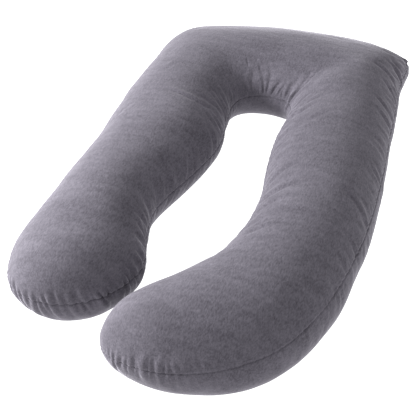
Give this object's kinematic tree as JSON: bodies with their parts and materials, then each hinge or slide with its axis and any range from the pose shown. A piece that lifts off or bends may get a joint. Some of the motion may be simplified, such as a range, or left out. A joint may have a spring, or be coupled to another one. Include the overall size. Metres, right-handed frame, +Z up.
{
  "type": "body pillow",
  "caption": "U-shaped velvet body pillow lying flat: a closed bar at the back, a straight arm, and an arm that curls inward at the front.",
  "frame": {"origin": "on the surface that the pillow rests on, under the middle of its box", "axes": "+Y towards the closed back bar, +X towards the arm that curls inward, +Z up"},
  "size_m": [0.78, 1.45, 0.1943],
  "materials": {
    "velvet_cover": "short-pile velvet, matt with a soft sheen"
  },
  "bodies": {
    "root": {"pillow": "velvet_cover"}
  },
  "joints": []
}
